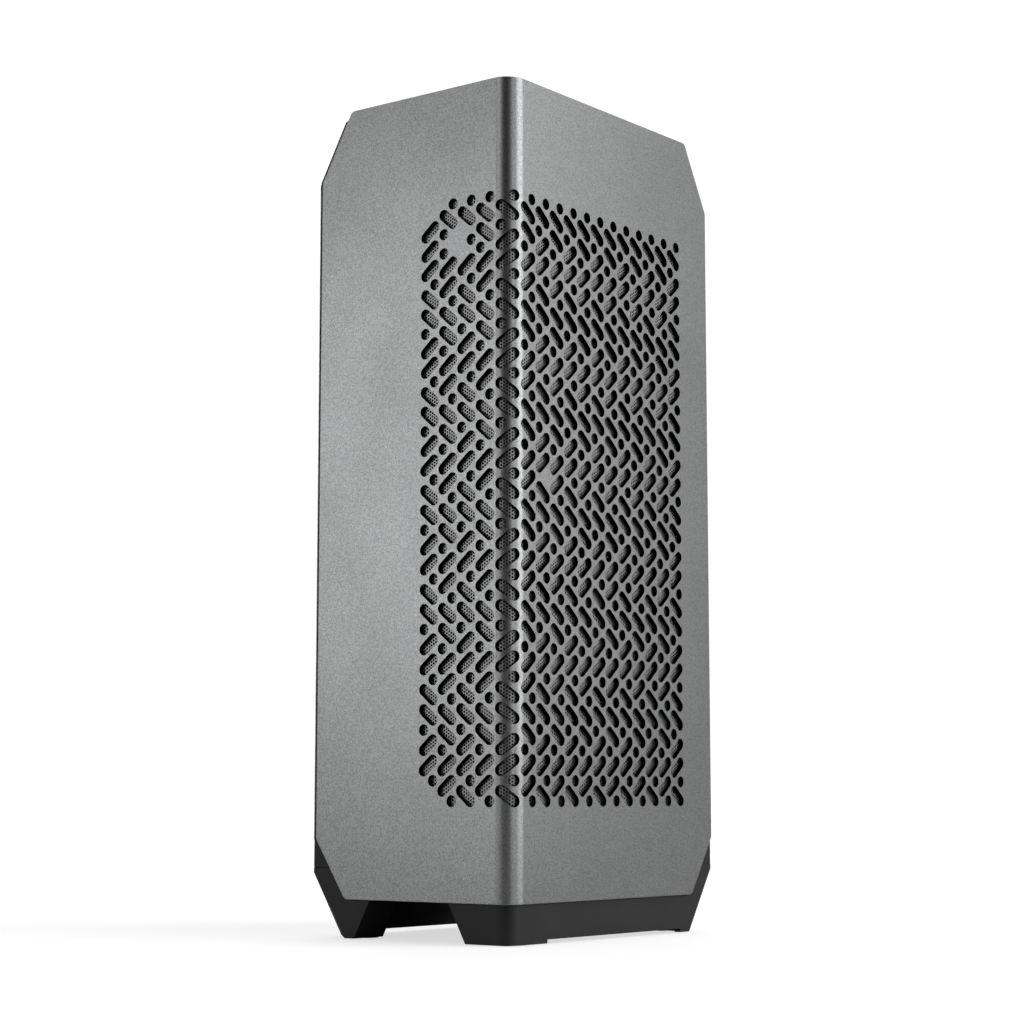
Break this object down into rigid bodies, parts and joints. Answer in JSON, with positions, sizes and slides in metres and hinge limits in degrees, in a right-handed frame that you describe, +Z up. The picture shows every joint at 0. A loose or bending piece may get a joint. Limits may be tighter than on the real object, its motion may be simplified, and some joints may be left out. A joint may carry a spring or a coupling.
{
  "type": "desktop computer tower",
  "caption": "Slim upright computer tower: two bent perforated metal shells around a frame with boards, radiator, fans and power unit, on a dark base with a cable way.",
  "frame": {"origin": "centre of the footprint, on the floor", "axes": "+Z up, X along the wide faces, Y along the narrow faces; the front shell's bend is at -X, -Y"},
  "size_m": [0.2006, 0.145, 0.475],
  "materials": {
    "shell_metal": "fine sand-like anodised, satin",
    "mesh_metal": "fine perforated sheet, satin",
    "frame_black": "black powder coat, fine texture",
    "base_plastic": "dark grey, fine texture",
    "black_plastic": "black, satin",
    "pad_rubber": "matt black",
    "bright_steel": "zinc plated",
    "fin_aluminium": "bare, bright",
    "copper": "nickel-free copper pipe",
    "board_black": "solder-masked board, semi gloss",
    "connector_plastic": "black moulded connector",
    "hose_rubber": "black braided hose",
    "cable_sleeve": "black cable jacket",
    "fan_plastic": "black moulded fan",
    "silicon": "nickel-plated lid"
  },
  "bodies": {
    "chassis": {"audio_jack": "connector_plastic", "base": "base_plastic", "board_cable": "cable_sleeve", "board_heatsinks": "fin_aluminium", "board_ports": "bright_steel", "board_sockets": "connector_plastic", "coolant_hoses": "hose_rubber", "corner_posts": "frame_black", "foot_pads": "pad_rubber", "frame_magnets": "bright_steel", "gpu_backplate": "frame_black", "gpu_board": "board_black", "gpu_bracket": "bright_steel", "gpu_fins": "fin_aluminium", "gpu_heatpipes": "copper", "gpu_shroud": "black_plastic", "graphics_cable": "cable_sleeve", "hose_fittings": "bright_steel", "io_board": "board_black", "io_housing": "black_plastic", "io_shield": "bright_steel", "lower_frame": "frame_black", "mains_inlet": "connector_plastic", "mains_lead": "cable_sleeve", "memory_sticks": "board_black", "motherboard": "board_black", "panel_cable": "cable_sleeve", "processor": "silicon", "psu_board": "board_black", "psu_case": "frame_black", "psu_fan_grille": "bright_steel", "psu_inlet": "connector_plastic", "pump_block": "black_plastic", "radiator_core": "frame_black", "radiator_fan_frame": "fan_plastic", "radiator_tanks": "frame_black", "riser_cable": "cable_sleeve", "riser_socket": "connector_plastic", "screws": "bright_steel", "spine": "frame_black", "standoffs": "copper", "storage_drive": "frame_black", "top_frame": "frame_black", "usb_ports": "bright_steel"},
    "front_shell": {"front_shell": "shell_metal", "front_dust_mesh": "mesh_metal", "front_shell_catches": "bright_steel"},
    "rear_shell": {"rear_shell": "shell_metal", "rear_dust_mesh": "mesh_metal", "rear_shell_catches": "bright_steel"},
    "top_cover": {"top_cover": "frame_black", "top_mesh": "frame_black"},
    "power_button": {"power_button": "black_plastic"},
    "radiator_fan": {"radiator_fan_rotor": "fan_plastic"},
    "psu_fan": {"psu_fan_rotor": "fan_plastic"},
    "psu_switch": {"psu_switch": "black_plastic"},
    "gpu_fan_lower": {"gpu_fan_lower": "fan_plastic"},
    "gpu_fan_middle": {"gpu_fan_middle": "fan_plastic"},
    "gpu_fan_upper": {"gpu_fan_upper": "fan_plastic"}
  },
  "joints": [
    {"name": "front_shell_pull", "type": "slide", "parent": "chassis", "child": "front_shell", "axis": [-0.7071, -0.7071, 0], "range_m": [0, 0.25]},
    {"name": "rear_shell_pull", "type": "slide", "parent": "chassis", "child": "rear_shell", "axis": [0.7071, 0.7071, 0], "range_m": [0, 0.25]},
    {"name": "top_cover_lift", "type": "slide", "parent": "chassis", "child": "top_cover", "axis": [0, 0, 1], "range_m": [0, 0.1]},
    {"name": "power_button_press", "type": "slide", "parent": "chassis", "child": "power_button", "axis": [0, 0, -1], "range_m": [0, 0.0012], "stiffness_N_per_m": 400, "springref_m": -0.0006},
    {"name": "radiator_fan_spin", "type": "hinge", "parent": "chassis", "child": "radiator_fan", "pos_m": [-0.014, 0, 0.448], "axis": [0, 0, 1], "continuous": true},
    {"name": "psu_fan_spin", "type": "hinge", "parent": "chassis", "child": "psu_fan", "pos_m": [-0.0115, 0.058, 0.315], "axis": [0, 1, 0], "continuous": true},
    {"name": "psu_switch_rock", "type": "hinge", "parent": "chassis", "child": "psu_switch", "pos_m": [-0.022, 0.038, 0.361], "axis": [0, 1, 0], "range_deg": [0, 20]},
    {"name": "gpu_fan_lower_spin", "type": "hinge", "parent": "chassis", "child": "gpu_fan_lower", "pos_m": [-0.005, -0.058, 0.11], "axis": [0, -1, 0], "continuous": true},
    {"name": "gpu_fan_middle_spin", "type": "hinge", "parent": "chassis", "child": "gpu_fan_middle", "pos_m": [-0.005, -0.058, 0.197], "axis": [0, -1, 0], "continuous": true},
    {"name": "gpu_fan_upper_spin", "type": "hinge", "parent": "chassis", "child": "gpu_fan_upper", "pos_m": [-0.005, -0.058, 0.284], "axis": [0, -1, 0], "continuous": true}
  ]
}
